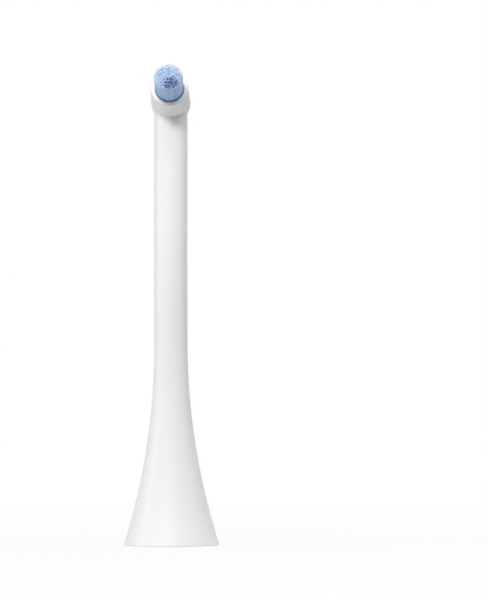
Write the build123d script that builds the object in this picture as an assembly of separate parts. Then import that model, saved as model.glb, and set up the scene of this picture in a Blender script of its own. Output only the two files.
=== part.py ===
"""Single-tuft brush head for a sonic toothbrush handle.

The origin is the centre of the bell's rim, +Z runs up the neck and the tuft faces -Y.
"""

import os
from math import cos, pi, radians, sin, sqrt

from build123d import *

# Driving dimensions, in millimetres and degrees

# Bell and neck
BASE_DIAMETER = 16.0
BASE_EDGE_CHAMFER = 0.1
BELL_HEIGHT = 33.5
BELL_WALL = 1.3
BELL_LEAD_IN = 0.35
HOLLOW_SHARE = 0.6
NECK_LOWER_LENGTH = 4.5
NECK_BEND_RADIUS = 140.0
NECK_BEND_ANGLE = 8.0
NECK_UPPER_LENGTH = 16.5

# Cup that carries the tuft
CUP_TILT = 22.5
CUP_LENGTH = 5.8
CUP_RIM_WALL = 0.78
CUP_RIM_ROUND = 0.5
CUP_DRAFT = 0.16
CUP_OVER_NECK = 0.51
CUP_NECK_FILLET = 0.4
TUFT_HOLE_DEPTH = 3.2
TUFT_HOLE_CHAMFER = 0.15

# Tuft of filaments on a fused root
TUFT_ROOT_DIAMETER = 4.62
TUFT_ROOT_THICKNESS = 0.8
TUFT_ROOT_CLEARANCE = 0.05
TUFT_BUNDLE_INSET = 0.14
TUFT_SHOULDER_LENGTH = 4.8
TUFT_DOME_HEIGHT = 0.5
TUFT_DOME_POWER = 4.0
TUFT_TIP_SPREAD = 0.28
FILAMENT_RINGS = 5
FILAMENTS_PER_RING_STEP = 6
FILAMENT_SIDES = 6
FILAMENT_DIAMETER = 0.36
FILAMENT_TIP_CHAMFER = 0.09
FILAMENT_SINK = 0.2

# Drive shaft coupling
SHAFT_DIAMETER = 3.5
SHAFT_CLEARANCE = 0.03
COUPLING_RECESS = 5.0
COUPLING_FLANGE_THICKNESS = 1.0
COUPLING_FLANGE_WIDTH = 1.1
COUPLING_LEAD_IN = 0.3
BORE_ROUND_LENGTH = 13.0
BORE_TIP_STEP = 0.2
BORE_FLAT_LENGTH = 3.0
BORE_FLAT_DEPTH = 0.5
COUPLING_END_THICKNESS = 1.2
COUPLING_SEAT_CLEARANCE = 0.03
RIB_COUNT = 6
RIB_THICKNESS = 0.8

# Spring leaf that grips the shaft
SPRING_THICKNESS = 0.25
SPRING_WIDTH = 1.6
SPRING_FOOT_LENGTH = 1.4
SPRING_BOW_LENGTH = 6.6
SPRING_BOW_HEIGHT = 0.3
SPRING_CLEARANCE = 0.03
SPRING_SIDE_CLEARANCE = 0.1
SPRING_START = 2.2

# Sizes that follow from the ones above
TUFT_HOLE_RADIUS = TUFT_ROOT_DIAMETER / 2 + TUFT_ROOT_CLEARANCE
CUP_RADIUS = TUFT_HOLE_RADIUS + CUP_RIM_WALL + CUP_DRAFT
NECK_RADIUS = CUP_RADIUS - CUP_OVER_NECK
BASE_RADIUS = BASE_DIAMETER / 2
BEND_START = BELL_HEIGHT + NECK_LOWER_LENGTH
BORE_RADIUS = SHAFT_DIAMETER / 2 + SHAFT_CLEARANCE
DRIVE_RADIUS = BORE_RADIUS - BORE_TIP_STEP
SPRING_INNER = BORE_RADIUS + SPRING_CLEARANCE
SPRING_FOOT_INNER = SPRING_INNER + SPRING_BOW_HEIGHT
SPRING_FOOT_OUTER = SPRING_FOOT_INNER + SPRING_THICKNESS
SEAT_RADIUS = sqrt((SPRING_FOOT_OUTER + SPRING_CLEARANCE) ** 2 + (SPRING_WIDTH / 2) ** 2)
COUPLING_RADIUS = SEAT_RADIUS - COUPLING_SEAT_CLEARANCE
COUPLING_LENGTH = BORE_ROUND_LENGTH + BORE_FLAT_LENGTH + COUPLING_END_THICKNESS
RIB_BOTTOM = COUPLING_RECESS + COUPLING_FLANGE_THICKNESS
SEAT_TOP = COUPLING_RECESS + COUPLING_LENGTH + COUPLING_SEAT_CLEARANCE
SPRING_LENGTH = SPRING_BOW_LENGTH + 2 * SPRING_FOOT_LENGTH
SPRING_MIDDLE = COUPLING_RECESS + SPRING_START + SPRING_LENGTH / 2

# Where the bend ends, where the neck ends, and the frame of the cup at its ball's centre
bend = radians(NECK_BEND_ANGLE)
tilt = radians(CUP_TILT)
neck_direction = Vector(0, sin(bend), cos(bend))
bend_end = Vector(0, NECK_BEND_RADIUS * (1 - cos(bend)), BEND_START + NECK_BEND_RADIUS * sin(bend))
cup_centre = bend_end + neck_direction * NECK_UPPER_LENGTH
cup_frame = Plane(cup_centre, x_dir=(1, 0, 0), z_dir=(0, -cos(tilt), sin(tilt)))


def turned(outline):
    """Solid of revolution about Z of a closed outline of (radius, height)."""
    return revolve(Plane.XZ * make_face(outline), Axis.Z)


def flare(top_radius, rim_radius):
    """Arc that leaves the rim and runs into an upright line at the bell's top."""
    return TangentArc((top_radius, BELL_HEIGHT), (rim_radius, 0), tangent=(0, -1))


def bell_blank():
    """Solid bell under the flare, with its sharp bottom corner taken off."""
    rim = (BASE_RADIUS, 0)
    outline = flare(NECK_RADIUS, BASE_RADIUS)
    outline += Polyline(rim, (0, 0), (0, BELL_HEIGHT), (NECK_RADIUS, BELL_HEIGHT))
    corner = make_face(outline).vertices().sort_by_distance(rim)[0]
    return revolve(Plane.XZ * chamfer(corner, BASE_EDGE_CHAMFER), Axis.Z)


def neck_blank():
    """Bell and neck before anything is hollowed: flare, straight, bend, straight."""
    bell = bell_blank()
    lower = Pos(0, 0, BELL_HEIGHT) * extrude(Circle(NECK_RADIUS), NECK_LOWER_LENGTH)
    section = Pos(0, 0, BEND_START) * Circle(NECK_RADIUS)
    bend_axis = Axis((0, NECK_BEND_RADIUS, BEND_START), (-1, 0, 0))
    curve = revolve(section, bend_axis, NECK_BEND_ANGLE)
    upper = extrude(Plane(bend_end, z_dir=neck_direction) * Circle(NECK_RADIUS), NECK_UPPER_LENGTH)
    return bell + lower + curve + upper


def cup_blank():
    """Ball-backed cup: half a ball, a slightly drawn-in wall and a rounded rim."""
    rim_radius = CUP_RADIUS - CUP_DRAFT
    wall_top = (rim_radius, CUP_LENGTH - CUP_RIM_ROUND)
    face_edge = (rim_radius - CUP_RIM_ROUND, CUP_LENGTH)
    outline = CenterArc((0, 0), CUP_RADIUS, -90, 90)
    outline += Line((CUP_RADIUS, 0), wall_top)
    outline += Bezier(wall_top, (rim_radius, CUP_LENGTH), face_edge)
    outline += Polyline(face_edge, (0, CUP_LENGTH), (0, -CUP_RADIUS))
    return cup_frame * turned(outline)


def tuft_hole():
    """Blind hole in the cup, with a chamfered mouth."""
    floor = CUP_LENGTH - TUFT_HOLE_DEPTH
    mouth = TUFT_HOLE_RADIUS + TUFT_HOLE_CHAMFER
    outline = Polyline(
        (0, floor),
        (TUFT_HOLE_RADIUS, floor),
        (TUFT_HOLE_RADIUS, CUP_LENGTH - TUFT_HOLE_CHAMFER),
        (mouth, CUP_LENGTH),
        (0, CUP_LENGTH),
        close=True,
    )
    return cup_frame * turned(outline)


def bell_hollow():
    """Hollow of the bell in two tapers along its wall, less the ribs, with the coupling's round seat."""
    rim_radius = BASE_RADIUS - BELL_WALL
    inner_wall = flare(NECK_RADIUS - BELL_WALL, rim_radius)
    middle = inner_wall @ (1 - HOLLOW_SHARE / 2)
    top = inner_wall @ (1 - HOLLOW_SHARE)
    hollow = turned(Polyline((0, 0), (rim_radius, 0), middle, top, (0, top.Y), close=True))
    stand = (Align.CENTER, Align.CENTER, Align.MIN)
    lead_in = Cone(rim_radius + BELL_LEAD_IN, rim_radius - BELL_LEAD_IN, 2 * BELL_LEAD_IN, align=stand)
    rib = Box(BASE_RADIUS, RIB_THICKNESS, BELL_HEIGHT, align=(Align.MIN, Align.CENTER, Align.MIN))
    first = Pos(0, 0, RIB_BOTTOM) * Rot(0, 0, 90)
    ribs = [first * Rot(0, 0, turn * 360 / RIB_COUNT) * rib for turn in range(RIB_COUNT)]
    seat = extrude(Pos(0, 0, COUPLING_RECESS) * Circle(SEAT_RADIUS), SEAT_TOP - COUPLING_RECESS)
    return hollow - ribs + seat + lead_in


def brush_body():
    """White moulding: bell, bent neck and cup in one piece."""
    neck = neck_blank()
    cup = cup_blank()
    blank = neck + cup
    blank = fillet(new_edges(neck, cup, combined=blank), CUP_NECK_FILLET)
    return blank - bell_hollow() - tuft_hole()


def shaft_coupling():
    """Sleeve in the bell: round bore, narrower flatted end, flange, and the spring's pocket."""
    flange_radius = COUPLING_RADIUS + COUPLING_FLANGE_WIDTH
    outline = Polyline(
        (0, 0),
        (flange_radius, 0),
        (flange_radius, COUPLING_FLANGE_THICKNESS),
        (COUPLING_RADIUS, COUPLING_FLANGE_THICKNESS),
        (COUPLING_RADIUS, COUPLING_LENGTH),
        (0, COUPLING_LENGTH),
        close=True,
    )
    bore = Polyline(
        (0, 0),
        (BORE_RADIUS + COUPLING_LEAD_IN, 0),
        (BORE_RADIUS, COUPLING_LEAD_IN),
        (BORE_RADIUS, BORE_ROUND_LENGTH),
        (0, BORE_ROUND_LENGTH),
        close=True,
    )
    flat = Pos(0, DRIVE_RADIUS - BORE_FLAT_DEPTH) * Rectangle(
        2 * DRIVE_RADIUS, DRIVE_RADIUS, align=(Align.CENTER, Align.MIN)
    )
    drive = extrude(Pos(0, 0, BORE_ROUND_LENGTH) * (Circle(DRIVE_RADIUS) - flat), BORE_FLAT_LENGTH)
    sleeve = Pos(0, 0, COUPLING_RECESS) * (turned(outline) - turned(bore) - drive)
    return sleeve - spring_pocket()


def spring_pocket():
    """Pocket in the back of the coupling for the leaf's feet, open to the bore under its bow."""
    width = SPRING_WIDTH + 2 * SPRING_SIDE_CLEARANCE
    reach = SEAT_RADIUS
    ledge = SPRING_FOOT_INNER - SPRING_CLEARANCE
    hold = (Align.CENTER, Align.MIN, Align.CENTER)
    pocket = Pos(0, ledge, SPRING_MIDDLE) * Box(
        width, reach, SPRING_LENGTH + 2 * SPRING_SIDE_CLEARANCE, align=hold
    )
    window = Pos(0, 0, SPRING_MIDDLE) * Box(width, reach, SPRING_BOW_LENGTH, align=hold)
    return pocket + window


def grip_spring():
    """Steel leaf with two flat feet and a bow towards the shaft."""
    half_bow = SPRING_BOW_LENGTH / 2
    half = SPRING_LENGTH / 2
    inner = SPRING_FOOT_INNER
    outer = SPRING_FOOT_OUTER
    bow = SPRING_BOW_HEIGHT
    outline = Polyline((inner, half_bow), (inner, half), (outer, half), (outer, half_bow))
    outline += ThreePointArc((outer, half_bow), (outer - bow, 0), (outer, -half_bow))
    outline += Polyline((outer, -half_bow), (outer, -half), (inner, -half), (inner, -half_bow))
    outline += ThreePointArc((inner, -half_bow), (inner - bow, 0), (inner, half_bow))
    leaf = extrude(make_face(Plane.YZ * outline), SPRING_WIDTH / 2, both=True)
    return Pos(0, 0, SPRING_MIDDLE) * leaf


def filament(ring, turn):
    """One filament with a chamfered tip, leaning outwards with its ring."""
    share = ring / FILAMENT_RINGS
    root_height = CUP_LENGTH - TUFT_HOLE_DEPTH + TUFT_ROOT_THICKNESS - FILAMENT_SINK
    root_radius = (TUFT_ROOT_DIAMETER / 2 - TUFT_BUNDLE_INSET - FILAMENT_DIAMETER / 2) * share
    tip_radius = root_radius + TUFT_TIP_SPREAD * share
    dome = TUFT_DOME_HEIGHT * (1 - share**TUFT_DOME_POWER)
    tip_height = CUP_LENGTH + TUFT_SHOULDER_LENGTH + dome
    angle = 2 * pi * turn
    root = Vector(root_radius * cos(angle), root_radius * sin(angle), root_height)
    tip = Vector(tip_radius * cos(angle), tip_radius * sin(angle), tip_height)
    section = Plane(root, z_dir=tip - root) * RegularPolygon(FILAMENT_DIAMETER / 2, FILAMENT_SIDES)
    rod = extrude(section, (tip - root).length)
    return chamfer(rod.faces().sort_by(Axis.Z)[-1].edges(), FILAMENT_TIP_CHAMFER)


def bristle_tuft():
    """Round bundle of filaments with a domed end, standing on its fused root."""
    floor = CUP_LENGTH - TUFT_HOLE_DEPTH
    root = extrude(Pos(0, 0, floor) * Circle(TUFT_ROOT_DIAMETER / 2), TUFT_ROOT_THICKNESS)
    filaments = [filament(0, 0)]
    for ring in range(1, FILAMENT_RINGS + 1):
        count = FILAMENTS_PER_RING_STEP * ring
        filaments += [filament(ring, place / count) for place in range(count)]
    return cup_frame * (root + filaments)


os.makedirs("parts", exist_ok=True)
export_step(brush_body(), "parts/brush_body.step")
export_step(bristle_tuft(), "parts/bristle_tuft.step")
export_step(shaft_coupling(), "parts/shaft_coupling.step")
export_step(grip_spring(), "parts/grip_spring.step")
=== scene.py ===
"""Toothbrush head with one round tuft, dressed and lit for a studio picture.

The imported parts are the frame. The moulded body, the shaft sleeve and the spring keep their solids and
get their finishes here. The tuft is grown again, filament by filament, in the place of its solid.
"""

from math import cos, pi, radians, sin, sqrt, tan
from random import Random
from typing import NamedTuple

import bmesh
import bpy
from bpy.props import FloatProperty, FloatVectorProperty, IntProperty, PointerProperty
from mathutils import Matrix, Vector, noise


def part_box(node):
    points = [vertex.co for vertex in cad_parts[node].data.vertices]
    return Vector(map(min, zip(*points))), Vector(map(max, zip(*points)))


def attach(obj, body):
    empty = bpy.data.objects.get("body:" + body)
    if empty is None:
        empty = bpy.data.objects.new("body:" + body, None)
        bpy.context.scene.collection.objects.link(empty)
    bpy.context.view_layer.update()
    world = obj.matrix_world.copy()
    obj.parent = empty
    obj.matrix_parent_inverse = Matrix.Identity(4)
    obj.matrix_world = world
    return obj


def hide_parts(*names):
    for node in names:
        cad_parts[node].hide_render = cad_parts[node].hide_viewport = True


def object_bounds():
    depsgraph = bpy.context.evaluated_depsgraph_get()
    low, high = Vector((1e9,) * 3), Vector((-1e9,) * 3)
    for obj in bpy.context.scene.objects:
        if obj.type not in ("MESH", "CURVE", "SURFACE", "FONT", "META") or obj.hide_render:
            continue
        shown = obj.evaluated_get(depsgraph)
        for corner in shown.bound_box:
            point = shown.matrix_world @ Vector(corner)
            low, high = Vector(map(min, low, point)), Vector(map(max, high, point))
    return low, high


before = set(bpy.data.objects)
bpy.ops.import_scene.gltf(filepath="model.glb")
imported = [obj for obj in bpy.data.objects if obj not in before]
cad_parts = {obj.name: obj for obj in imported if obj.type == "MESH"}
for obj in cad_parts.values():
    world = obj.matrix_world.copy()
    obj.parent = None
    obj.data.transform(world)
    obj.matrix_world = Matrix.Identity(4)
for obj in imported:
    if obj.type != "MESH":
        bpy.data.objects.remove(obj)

bl_info = {
    "name": "Toothbrush Head",
    "version": (1, 0, 0),
    "blender": (4, 5, 0),
    "location": "View3D > Sidebar > Brush Head",
    "description": "Finishes, filaments and studio for a single-tuft toothbrush head",
    "category": "Object",
}

MM = 0.001
CAD_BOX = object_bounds()
PICTURE_WIDTH = 488
PICTURE_HEIGHT = 600

# Rings of a filament from foot to tip: each one's share of the full width, and of the way to the tip
FILAMENT_RINGS = ((1.0, 0.0), (1.0, 0.55), (1.0, 0.97), (0.86, 1.0), (0.5, 1.0))
# How far the last three rings lie below the tip, in radii
TIP_DROPS = (0.35, 0.1, 0.0)
# Shares of the root's thickness: where the filaments' feet stand, and what the softened edge takes
FOOT_SHARE = 0.75
ROOT_EDGE_SHARE = 0.15
ROOT_SIDES = 48
# Faces that meet at more than this angle, in radians, make an edge that is softened
SHARP_ANGLE = 1.0

# Painted glow on the tips at the edge, standing in for light that shines through them: at the sides, how
# much more above, and how far that side leans left
SIDE_PAINTED_GLOW = 0.6
UPPER_PAINTED_GLOW = 0.4
PAINTED_GLOW_LEAN = 0.4
# How steeply the hollow begins at its rim, and the sinking inside the bundle's edge
HOLLOW_STEEPNESS = 2.5
EDGE_STEEPNESS = 8.0
# What sinks a tip: the contrast of the patches, the pull of the hollow, and what both have to overcome
PATCH_CONTRAST = 3.0
HOLLOW_PULL = 1.8
SINK_THRESHOLD = 1.2
# How much of the painted shade, a deeper blue, a tip in the hollow has where it isn't sunk
HOLLOW_PAINTED_SHADE = 0.3


class StudioLamp(NamedTuple):
    """A soft lamp: its side and height in degrees, its face in metres and its power in watts."""

    name: str
    azimuth: float
    elevation: float
    width: float
    height: float
    power: float


STUDIO_LAMPS = (
    StudioLamp("key_lamp", -16.0, 41.0, 0.38, 0.16, 6.1),
    StudioLamp("left_lamp", -80.0, 12.0, 0.45, 0.45, 2.6),
    StudioLamp("right_lamp", 80.0, 62.0, 0.45, 0.45, 4.1),
    StudioLamp("top_lamp", 13.0, 62.0, 0.45, 0.45, 1.6),
    StudioLamp("back_lamp", 165.0, 50.0, 0.45, 0.45, 3.5),
)


# Settings that a user would change

def length(name, description, millimetres):
    """A length property, written in millimetres."""
    return FloatProperty(
        name=name, description=description, default=millimetres * MM, unit="LENGTH", precision=5
    )


def colour(name, description, red, green, blue):
    """A colour property, as linear red, green and blue."""
    return FloatVectorProperty(
        name=name,
        description=description,
        default=(red, green, blue),
        subtype="COLOR",
        min=0.0,
        max=1.0,
    )


def share(name, description, default):
    """A property between nought and one."""
    return FloatProperty(
        name=name, description=description, default=default, subtype="FACTOR", min=0.0, max=1.0
    )


def angle(name, description, degrees):
    """An angle property, written in degrees."""
    return FloatProperty(name=name, description=description, default=radians(degrees), subtype="ANGLE")


class BRUSH_PG_finishes(bpy.types.PropertyGroup):
    """Colours and gloss of the moulded and metal pieces."""

    body_colour: colour("Body", "White of the moulded body", 0.86, 0.86, 0.86)
    body_roughness: share("Body roughness", "How satin the moulded body is", 0.42)
    body_specular: share("Body specular", "Strength of the moulded body's reflections", 0.35)
    sleeve_colour: colour("Sleeve", "Natural colour of the shaft sleeve", 0.64, 0.63, 0.59)
    sleeve_roughness: share("Sleeve roughness", "How matt the shaft sleeve is", 0.55)
    steel_colour: colour("Steel", "Colour of the spring leaf", 0.56, 0.57, 0.58)
    steel_roughness: share("Steel roughness", "How dull the spring leaf is", 0.3)


class BRUSH_PG_tuft(bpy.types.PropertyGroup):
    """Sizes and colours of the tuft."""

    tilt: angle("Tilt", "How far the tuft points above the level", 22.5)
    root_diameter: length("Root diameter", "Diameter of the fused root", 4.62)
    root_thickness: length("Root thickness", "Thickness of the fused root", 0.8)
    bundle_inset: length("Bundle inset", "From the root's edge to the outermost filament's side", 0.02)
    shoulder_height: length("Shoulder height", "From the root's underside to the tips at the edge", 7.93)
    dome_height: length("Dome height", "How far the middle stands above the shoulder", 0.5)
    dome_power: FloatProperty(
        name="Dome power", description="Higher makes the dome flatter with a tighter shoulder", default=4.0
    )
    tip_spread: length("Tip spread", "How far the outer tips stand out from their roots", 0.15)
    filament_count: IntProperty(name="Filaments", description="Number of filaments", default=1100, min=1)
    filament_diameter: length("Filament diameter", "Diameter of one filament", 0.15)
    filament_sides: IntProperty(name="Sides", description="Sides of one filament", default=8, min=3)
    clump_count: IntProperty(name="Clumps", description="Groups that the tips lean into", default=9, min=1)
    clump_pull: share("Clump pull", "How far a tip leans to the middle of its group", 0.012)
    place_wander: length("Place wander", "How far a filament strays from its even place", 0.008)
    height_wander: length("Height wander", "How uneven the tips are", 0.015)
    hollow_depth: length("Hollow depth", "How far the tips sink at the hollow in the end", 0.45)
    hollow_radius: length("Hollow radius", "Radius of the hollow in the end", 1.5)
    hollow_right: length("Hollow to the right", "From the axis to the hollow, sideways", 0.5)
    hollow_down: length("Hollow down", "From the axis to the hollow, downwards", 1.4)
    hollow_patch: length("Hollow patches", "Size of the patches of sunken tips", 0.24)
    root_colour: colour("Root colour", "Blue of the filaments in the bundle", 0.48, 0.7, 1.0)
    tip_colour: colour("Tip colour", "Blue of the tips in the middle", 0.48, 0.66, 0.93)
    # Painted glow: a paler blue on the tips at the edge, standing in for light shining through them
    painted_glow_colour: colour("Edge colour", "Paler blue of the tips at the edge", 0.88, 0.89, 0.95)
    # Painted shade: a deeper blue on the tips that stand back, where shade falls in the hollow
    painted_shade_colour: colour("Sunk colour", "Deeper blue of the tips that stand back", 0.09, 0.2, 0.62)
    seed: IntProperty(name="Seed", description="Start of the random draws", default=7)


class BRUSH_PG_stage(bpy.types.PropertyGroup):
    """Camera, lamps and floor."""

    camera_distance: length("Camera distance", "From the camera to the neck", 1200.0)
    camera_azimuth: angle("Camera azimuth", "Side from which the head is seen", 2.5)
    camera_roll: angle("Camera roll", "How far the picture is turned", 0.22)
    picture_span: length("Picture span", "Height of what the picture takes in, at the neck", 100.0)
    neck_pixel: FloatProperty(name="Neck column", description="Pixel column of the neck", default=170.72)
    base_pixel: FloatProperty(name="Base row", description="Pixel row of the bell's rim", default=545.2)
    lamp_distance: length("Lamp distance", "From the lamps to the head", 1000.0)
    fill_strength: share("Fill", "Light from all around", 0.02)
    floor_size: length("Floor size", "Width of the floor", 6000.0)
    floor_white: share("Floor white", "Share of plain white in the floor that is seen near the head", 0.92)
    floor_shade: share("Floor shade", "How pale the floor is to the lamps", 0.55)
    floor_fade: length("Floor fade", "From the head to where the floor is seen as plain white", 250.0)
    floor_glow: share("Floor glow", "Light that the floor gives the bell's rim from below", 0.6)
    floor_glow_reach: length("Floor glow reach", "From the head to where that light has faded", 14.0)


# Shader building

def operation(name, swapped=False):
    """A method that adds a Math node for one of Python's operators."""

    def apply(self, other):
        pair = (other, self) if swapped else (self, other)
        return self.finish.math(name, *pair)

    return apply


class Value:
    """A shader socket that takes part in Python arithmetic."""

    def __init__(self, finish, socket):
        self.finish = finish
        self.socket = socket

    __add__ = operation("ADD")
    __radd__ = operation("ADD", True)
    __sub__ = operation("SUBTRACT")
    __rsub__ = operation("SUBTRACT", True)
    __mul__ = operation("MULTIPLY")
    __rmul__ = operation("MULTIPLY", True)
    __pow__ = operation("POWER")


class Finish:
    """A node tree that is being built: a material's, or the world's."""

    def __init__(self, owner):
        owner.use_nodes = True
        self.owner = owner
        self.tree = owner.node_tree
        self.tree.nodes.clear()

    def add(self, kind, settings, sockets, output=0):
        """Add a node, make its settings, feed its sockets and return one of its outputs."""
        node = self.tree.nodes.new(kind)
        for key, setting in settings.items():
            setattr(node, key, setting)
        for key, value in sockets.items():
            if isinstance(value, Value):
                self.tree.links.new(value.socket, node.inputs[key])
            else:
                node.inputs[key].default_value = value
        return Value(self, node.outputs[output]) if node.outputs else None

    def math(self, name, first, second):
        """A Math node on two numbers."""
        return self.add("ShaderNodeMath", {"operation": name}, {0: first, 1: second})

    def mix(self, factor, first, second):
        """A blend of two colours."""
        settings = {"data_type": "RGBA"}
        return self.add("ShaderNodeMix", settings, {0: factor, 6: first, 7: second}, 2)

    def place(self, scale=(1.0, 1.0, 1.0)):
        """Object coordinates, stretched."""
        place = self.add("ShaderNodeTexCoord", {}, {}, "Object")
        return self.add("ShaderNodeMapping", {}, {"Vector": place, "Scale": scale})

    def noise(self, place, scale, detail=2.0):
        """Noise between nought and one, with a number of waves to the metre."""
        sockets = {"Vector": place, "Scale": scale, "Detail": detail}
        return self.add("ShaderNodeTexNoise", {}, sockets)

    def attribute(self, name):
        """A number kept on the mesh."""
        return self.add("ShaderNodeAttribute", {"attribute_name": name}, {}, "Fac")

    def bump(self, height, distance, strength):
        """A normal bent by a height."""
        sockets = {"Height": height, "Distance": distance, "Strength": strength}
        return self.add("ShaderNodeBump", {}, sockets)

    def surface(self, shader):
        """Feed the material's output."""
        self.add("ShaderNodeOutputMaterial", {}, {"Surface": shader})
        return self.owner


def new_finish(name):
    """An empty material tree."""
    return Finish(bpy.data.materials.new(name))


def shade_of(tone, factor=1.0):
    """A colour with its brightness multiplied, as a socket value."""
    return (tone[0] * factor, tone[1] * factor, tone[2] * factor, 1.0)


def white_moulding(settings):
    """Satin white plastic: faint clouding, uneven gloss and the fine grain of a polished mould."""
    finish = new_finish("white_moulding")
    place = finish.place()
    clouds = finish.noise(place, 160.0)
    gloss = finish.noise(place, 700.0, 4.0)
    grain = finish.noise(place, 9000.0)
    tone = finish.mix(clouds, shade_of(settings.body_colour, 0.985), shade_of(settings.body_colour, 1.015))
    shader = finish.add(
        "ShaderNodeBsdfPrincipled",
        {},
        {
            "Base Color": tone,
            "Roughness": settings.body_roughness - 0.05 + gloss * 0.1,
            "Specular IOR Level": settings.body_specular,
            "Normal": finish.bump(grain, 0.000004, 0.2),
        },
    )
    return finish.surface(shader)


def sleeve_plastic(settings):
    """Natural matt plastic with cloudy flow and a slight grain."""
    finish = new_finish("sleeve_plastic")
    flow = finish.noise(finish.place((1.0, 1.0, 0.3)), 420.0, 5.0)
    grain = finish.noise(finish.place(), 6000.0)
    tone = finish.mix(flow, shade_of(settings.sleeve_colour, 0.92), shade_of(settings.sleeve_colour, 1.06))
    shader = finish.add(
        "ShaderNodeBsdfPrincipled",
        {},
        {
            "Base Color": tone,
            "Roughness": settings.sleeve_roughness - 0.06 + flow * 0.12,
            "Normal": finish.bump(grain, 0.00001, 0.3),
        },
    )
    return finish.surface(shader)


def rolled_steel(settings):
    """Spring steel with rolling lines along the leaf."""
    finish = new_finish("rolled_steel")
    lines = finish.noise(finish.place((1.0, 1.0, 0.02)), 9000.0, 3.0)
    tone = finish.mix(lines, shade_of(settings.steel_colour, 0.85), shade_of(settings.steel_colour, 1.15))
    shader = finish.add(
        "ShaderNodeBsdfPrincipled",
        {},
        {
            "Base Color": tone,
            "Metallic": 1.0,
            "Roughness": settings.steel_roughness - 0.08 + lines * 0.16,
            "Normal": finish.bump(lines, 0.000005, 0.4),
        },
    )
    return finish.surface(shader)


def blue_filament(settings):
    """Light blue filaments, no two quite alike, with a painted glow on the tips at the edge and painted
    shade, a deeper blue, on the tips in the hollow.
    """
    finish = new_finish("blue_filament")
    along = finish.attribute("along")
    tint = finish.attribute("tint")
    body = finish.mix(tint, shade_of(settings.root_colour, 0.88), shade_of(settings.root_colour, 1.04))
    # Painted glow: the tips at the edge turn paler, standing in for light shining through them
    tip = finish.mix(finish.attribute("painted_glow"), shade_of(settings.tip_colour), shade_of(settings.painted_glow_colour))
    # Painted shade: the tips in the hollow turn a deeper blue, standing in for the shade there
    tip = finish.mix(finish.attribute("painted_shade"), tip, shade_of(settings.painted_shade_colour))
    shader = finish.add(
        "ShaderNodeBsdfPrincipled",
        {},
        {
            "Base Color": finish.mix(along**3.0, body, tip),
            "Roughness": 0.38 + tint * 0.14,
            "Specular IOR Level": 0.3,
        },
    )
    return finish.surface(shader)


def seen_directly(finish):
    """One for what the camera sees straight, in a reflection or through a clear piece."""
    kinds = ("Is Camera Ray", "Is Glossy Ray", "Is Transmission Ray")
    camera, glossy, clear = [finish.add("ShaderNodeLightPath", {}, {}, kind) for kind in kinds]
    return finish.math("MAXIMUM", finish.math("MAXIMUM", camera, glossy), clear)


def floor_paint(settings):
    """White floor that shows nearly plain white, keeps a faint shadow and lights the rim from below."""
    finish = new_finish("floor_paint")
    shade = settings.floor_shade
    lit = finish.add("ShaderNodeBsdfDiffuse", {}, {"Color": (shade, shade, shade, 1.0)})
    plain = finish.add("ShaderNodeEmission", {}, {"Color": (1.0, 1.0, 1.0, 1.0), "Strength": 1.0})
    distance = finish.add("ShaderNodeVectorMath", {"operation": "LENGTH"}, {0: finish.place()}, "Value")
    fade = {"Value": distance, "From Max": settings.floor_fade, "To Min": settings.floor_white}
    glow = {
        "Value": distance,
        "From Max": settings.floor_glow_reach,
        "To Min": settings.floor_glow,
        "To Max": 0.0,
    }
    seen = seen_directly(finish)
    backdrop = finish.add("ShaderNodeMapRange", {}, fade)
    underlight = finish.add("ShaderNodeMapRange", {}, glow)
    factor = seen * backdrop + (1.0 - seen) * underlight
    return finish.surface(finish.add("ShaderNodeMixShader", {}, {0: factor, 1: lit, 2: plain}))


def white_surroundings(world, settings):
    """World that is seen as white and lights the head evenly."""
    finish = Finish(world)
    strength = settings.fill_strength + seen_directly(finish) * (1.0 - settings.fill_strength)
    shader = finish.add("ShaderNodeBackground", {}, {"Color": (1.0, 1.0, 1.0, 1.0), "Strength": strength})
    finish.add("ShaderNodeOutputWorld", {}, {"Surface": shader})


# Mesh building

def finished_piece(name, bm, material, smooth=True):
    """A new object with its place in its mesh."""
    bmesh.ops.recalc_face_normals(bm, faces=bm.faces)
    for face in bm.faces:
        face.smooth = smooth
    mesh = bpy.data.meshes.new(name)
    bm.to_mesh(mesh)
    bm.free()
    mesh.materials.append(material)
    piece = bpy.data.objects.new(name, mesh)
    bpy.context.scene.collection.objects.link(piece)
    return piece


def dress(node, material):
    """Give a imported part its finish."""
    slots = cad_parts[node].data.materials
    slots.clear()
    slots.append(material)


def tuft_frame(settings):
    """Turn and place of the tuft, at the root's underside: X to the right, Z out along the bundle."""
    low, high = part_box("bristle_tuft")
    out = Vector((0.0, -cos(settings.tilt), sin(settings.tilt)))
    across = Vector((1.0, 0.0, 0.0))
    up = out.cross(across)
    radius = settings.root_diameter / 2
    back = high.y - radius * sin(settings.tilt)
    bottom = low.z + radius * cos(settings.tilt)
    start = Vector(((low.x + high.x) / 2, back, bottom))
    turn = Matrix((across, up, out)).transposed().to_4x4()
    return Matrix.Translation(start) @ turn


def within(number):
    """A number held between nought and one."""
    return min(1.0, max(0.0, number))


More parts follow.
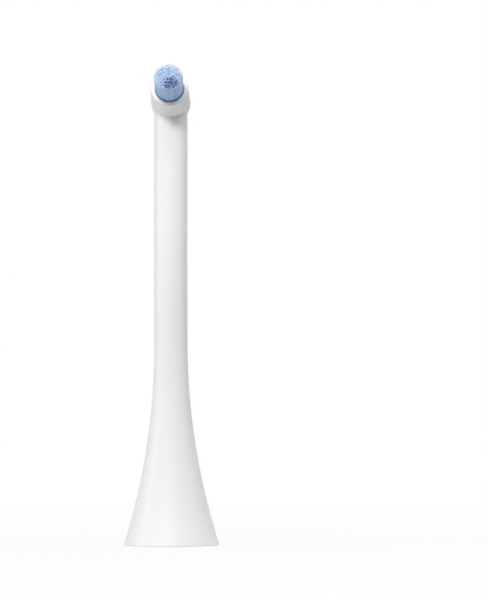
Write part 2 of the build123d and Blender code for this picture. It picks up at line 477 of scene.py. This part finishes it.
class TuftPlan:
    """Where each filament stands and ends, in the tuft's own frame."""

    def __init__(self, settings):
        self.settings = settings
        self.draw = Random(settings.seed)
        self.radius = settings.root_diameter / 2 - settings.bundle_inset - settings.filament_diameter / 2
        clumps = settings.clump_count
        self.clumps = [self.even_place(index, clumps) for index in range(clumps)]

    def even_place(self, index, count):
        """One of a number of evenly spread places in the bundle, each a golden turn from the last."""
        turn = index * pi * (3.0 - sqrt(5.0))
        reach = self.radius * sqrt((index + 0.5) / count)
        return Vector((reach * cos(turn), reach * sin(turn)))

    def wander(self, amount):
        """A small random step."""
        return Vector((self.draw.uniform(-amount, amount), self.draw.uniform(-amount, amount)))

    def root(self, index):
        """A filament's place on the root."""
        even = self.even_place(index, self.settings.filament_count)
        place = even + self.wander(self.settings.place_wander)
        return place * min(1.0, self.radius / place.length)

    def tip(self, root):
        """A filament's end, leaning outwards and towards the middle of its group."""
        settings = self.settings
        reach = root.length / self.radius
        clump = min(self.clumps, key=lambda middle: (middle - root).length)
        lean = root + (clump - root) * settings.clump_pull * (1.0 - reach**4)
        place = lean * (1.0 + settings.tip_spread / self.radius)
        dome = settings.dome_height * (1.0 - reach**settings.dome_power)
        height = settings.shoulder_height + dome - self.draw.uniform(0.0, settings.height_wander)
        return Vector((place.x, place.y, height - settings.hollow_depth * self.sunk(root)))

    def painted_glow_share(self, root):
        """Painted glow on a tip, a paler blue standing in for light that shines through: most at the upper
        left edge.
        """
        reach = root.length / self.radius
        upper_left = (root.y - PAINTED_GLOW_LEAN * root.x) / self.radius
        return within(reach**3 * (SIDE_PAINTED_GLOW + UPPER_PAINTED_GLOW * upper_left))

    def ring_places(self, root):
        """Where the rings of one filament lie, from its foot to its tip."""
        tip = self.tip(root)
        foot = Vector((root.x, root.y, self.settings.root_thickness * FOOT_SHARE))
        radius = self.settings.filament_diameter / 2
        below = [tip - Vector((0.0, 0.0, radius * drop)) for drop in TIP_DROPS]
        return [foot, foot.lerp(tip, FILAMENT_RINGS[1][1]), *below]

    def nearness(self, root):
        """How near a filament stands to the middle of the hollow in the end."""
        middle = Vector((self.settings.hollow_right, -self.settings.hollow_down))
        reach = (root - middle).length / self.settings.hollow_radius
        return within(HOLLOW_STEEPNESS * (1.0 - reach))

    def inside(self, root):
        """Nought at the bundle's edge, one a little further in."""
        return within(EDGE_STEEPNESS * (1.0 - root.length / self.radius))

    def sunk(self, root):
        """Share of the hollow's depth at a tip: small patches, close together in the hollow, rare beyond."""
        patch = noise.noise((root / self.settings.hollow_patch).to_3d())
        pull = PATCH_CONTRAST * patch + HOLLOW_PULL * self.nearness(root)
        return self.inside(root) * within(pull - SINK_THRESHOLD)

    def painted_shade_share(self, root):
        """Painted shade on a tip, as a deeper blue: full where it stands back in the hollow's shade, some of
        it all over the hollow.
        """
        return max(self.sunk(root), HOLLOW_PAINTED_SHADE * self.inside(root) * self.nearness(root))


def filament_pattern(bm, settings):
    """One filament as a stack of rings, short as yet, from its foot to its rounded tip."""
    ring = bm.verts.layers.int["ring"]
    along = bm.verts.layers.float["along"]
    radius = settings.filament_diameter / 2
    made = bmesh.ops.create_circle(bm, cap_ends=True, segments=settings.filament_sides, radius=radius)
    face = made["verts"][0].link_faces[0]
    for number, (width, step) in enumerate(FILAMENT_RINGS):
        if number:
            grown = bmesh.ops.extrude_face_region(bm, geom=[face])["geom"]
            face = next(item for item in grown if isinstance(item, bmesh.types.BMFace))
            narrowing = width / FILAMENT_RINGS[number - 1][0]
            bmesh.ops.scale(bm, vec=(narrowing, narrowing, 1.0), verts=face.verts)
        for vert in face.verts:
            vert[ring] = number
            vert[along] = step
    return bm.verts[:] + bm.edges[:] + bm.faces[:]


def grow_tuft(settings):
    """Mesh of the whole tuft in its own frame: every filament, and the fused root under them."""
    bm = bmesh.new()
    ring = bm.verts.layers.int.new("ring")
    bm.verts.layers.float.new("along")
    tint = bm.verts.layers.float.new("tint")
    painted_glow = bm.verts.layers.float.new("painted_glow")
    painted_shade = bm.verts.layers.float.new("painted_shade")
    plan = TuftPlan(settings)
    pattern = filament_pattern(bm, settings)
    for index in range(settings.filament_count):
        root = plan.root(index)
        places = plan.ring_places(root)
        shade = plan.draw.random()
        # Painted glow and painted shade of this filament's tip, kept on its mesh for the material
        painted_glow_share = plan.painted_glow_share(root)
        # Painted shade: a deeper blue for tips that stand back in the hollow
        painted_shade_share = plan.painted_shade_share(root)
        grown = bmesh.ops.duplicate(bm, geom=pattern)["geom"]
        for vert in grown:
            if isinstance(vert, bmesh.types.BMVert):
                vert.co += places[vert[ring]]
                vert[tint] = shade
                vert[painted_glow] = painted_glow_share
                vert[painted_shade] = painted_shade_share
    bmesh.ops.delete(bm, geom=pattern[: len(FILAMENT_RINGS) * settings.filament_sides], context="VERTS")
    add_root(bm, settings)
    return bm


def add_root(bm, settings):
    """The fused root: a disc with a softened edge."""
    radius = settings.root_diameter / 2
    made = bmesh.ops.create_cone(
        bm,
        cap_ends=True,
        segments=ROOT_SIDES,
        radius1=radius,
        radius2=radius,
        depth=settings.root_thickness,
        matrix=Matrix.Translation((0.0, 0.0, settings.root_thickness / 2)),
    )
    verts = set(made["verts"])
    edges = [edge for edge in bm.edges if edge.verts[0] in verts]
    bmesh.ops.bevel(
        bm,
        geom=[edge for edge in edges if edge.calc_face_angle() > SHARP_ANGLE],
        offset=settings.root_thickness * ROOT_EDGE_SHARE,
        affect="EDGES",
        segments=2,
        profile=0.5,
        material=-1,
    )


class BRUSH_OT_finish_body(bpy.types.Operator):
    """Give the moulded body its satin white"""

    bl_idname = "brush.finish_body"
    bl_label = "Finish Body"

    def execute(self, context):
        dress("brush_body", white_moulding(context.scene.brush_finishes))
        return {"FINISHED"}


class BRUSH_OT_finish_sleeve(bpy.types.Operator):
    """Give the shaft sleeve its natural plastic"""

    bl_idname = "brush.finish_sleeve"
    bl_label = "Finish Sleeve"

    def execute(self, context):
        dress("shaft_coupling", sleeve_plastic(context.scene.brush_finishes))
        return {"FINISHED"}


class BRUSH_OT_finish_spring(bpy.types.Operator):
    """Give the spring leaf its rolled steel"""

    bl_idname = "brush.finish_spring"
    bl_label = "Finish Spring"

    def execute(self, context):
        dress("grip_spring", rolled_steel(context.scene.brush_finishes))
        return {"FINISHED"}


class BRUSH_OT_grow_tuft(bpy.types.Operator):
    """Grow the tuft of fine filaments in its cup"""

    bl_idname = "brush.grow_tuft"
    bl_label = "Grow Tuft"

    def execute(self, context):
        settings = context.scene.brush_tuft
        bm = grow_tuft(settings)
        bmesh.ops.transform(bm, matrix=tuft_frame(settings), verts=bm.verts)
        tuft = finished_piece("tuft", bm, blue_filament(settings))
        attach(tuft, "root")
        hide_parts("bristle_tuft")
        return {"FINISHED"}


def hang_lamp(plan, place, target):
    """A soft lamp that faces the head."""
    light = bpy.data.lights.new(plan.name, "AREA")
    light.shape = "RECTANGLE"
    light.energy = plan.power
    light.size = plan.width
    light.size_y = plan.height
    holder = bpy.data.objects.new(plan.name, light)
    holder.location = place
    holder.rotation_euler = (target - place).to_track_quat("-Z", "Y").to_euler()
    bpy.context.scene.collection.objects.link(holder)


def direction(azimuth, elevation):
    """Unit vector from the head to a side: nought faces the tuft, to the right is positive."""
    level = cos(elevation)
    return Vector((level * sin(azimuth), -level * cos(azimuth), sin(elevation)))


class BRUSH_OT_set_stage(bpy.types.Operator):
    """Set the floor, the lamps, the white surroundings and the camera"""

    bl_idname = "brush.set_stage"
    bl_label = "Set Stage"

    def execute(self, context):
        settings = context.scene.brush_stage
        self.lay_floor(settings)
        self.hang_lamps(context.scene, settings)
        self.place_camera(context.scene, settings)
        context.scene.view_settings.view_transform = "Standard"
        return {"FINISHED"}

    def lay_floor(self, settings):
        bm = bmesh.new()
        bmesh.ops.create_grid(bm, x_segments=1, y_segments=1, size=settings.floor_size / 2)
        finished_piece("floor", bm, floor_paint(settings), smooth=False)

    def hang_lamps(self, scene, settings):
        middle = (CAD_BOX[0] + CAD_BOX[1]) / 2
        for plan in STUDIO_LAMPS:
            side = direction(radians(plan.azimuth), radians(plan.elevation))
            hang_lamp(plan, middle + side * settings.lamp_distance, middle)
        scene.world = bpy.data.worlds.new("white_surroundings")
        white_surroundings(scene.world, settings)

    def place_camera(self, scene, settings):
        data = bpy.data.cameras.new("camera")
        data.lens = data.sensor_width * settings.camera_distance / settings.picture_span
        data.clip_end = settings.floor_size
        pixel = settings.picture_span / PICTURE_HEIGHT
        height = (settings.base_pixel - PICTURE_HEIGHT / 2) * pixel
        aside = (PICTURE_WIDTH / 2 - settings.neck_pixel) * pixel
        camera = bpy.data.objects.new("camera", data)
        place = direction(settings.camera_azimuth, 0.0) * settings.camera_distance
        turn = settings.camera_azimuth - aside / settings.camera_distance
        camera.location = place + Vector((0.0, 0.0, height - aside * tan(settings.camera_roll)))
        facing = Matrix.Rotation(turn, 4, "Z") @ Matrix.Rotation(pi / 2, 4, "X")
        camera.rotation_euler = (facing @ Matrix.Rotation(-settings.camera_roll, 4, "Z")).to_euler()
        scene.collection.objects.link(camera)
        scene.camera = camera


class BRUSH_PT_panel(bpy.types.Panel):
    """The head's pieces, in the order in which they are made"""

    bl_idname = "BRUSH_PT_panel"
    bl_label = "Brush Head"
    bl_space_type = "VIEW_3D"
    bl_region_type = "UI"
    bl_category = "Brush Head"

    def draw(self, context):
        for operator in OPERATORS:
            self.layout.operator(operator.bl_idname)
        for settings in (context.scene.brush_finishes, context.scene.brush_tuft, context.scene.brush_stage):
            box = self.layout.box()
            for name in settings.__annotations__:
                box.prop(settings, name)


SETTINGS = {
    "brush_finishes": BRUSH_PG_finishes,
    "brush_tuft": BRUSH_PG_tuft,
    "brush_stage": BRUSH_PG_stage,
}
OPERATORS = (
    BRUSH_OT_finish_body,
    BRUSH_OT_finish_sleeve,
    BRUSH_OT_finish_spring,
    BRUSH_OT_grow_tuft,
    BRUSH_OT_set_stage,
)
CLASSES = (*SETTINGS.values(), *OPERATORS, BRUSH_PT_panel)


def register():
    for item in CLASSES:
        bpy.utils.register_class(item)
    for name, group in SETTINGS.items():
        setattr(bpy.types.Scene, name, PointerProperty(type=group))


def unregister():
    for name in SETTINGS:
        delattr(bpy.types.Scene, name)
    for item in reversed(CLASSES):
        bpy.utils.unregister_class(item)


def main():
    register()
    bpy.ops.brush.finish_body()
    bpy.ops.brush.finish_sleeve()
    bpy.ops.brush.finish_spring()
    bpy.ops.brush.grow_tuft()
    bpy.ops.brush.set_stage()


if __name__ == "__main__":
    main()
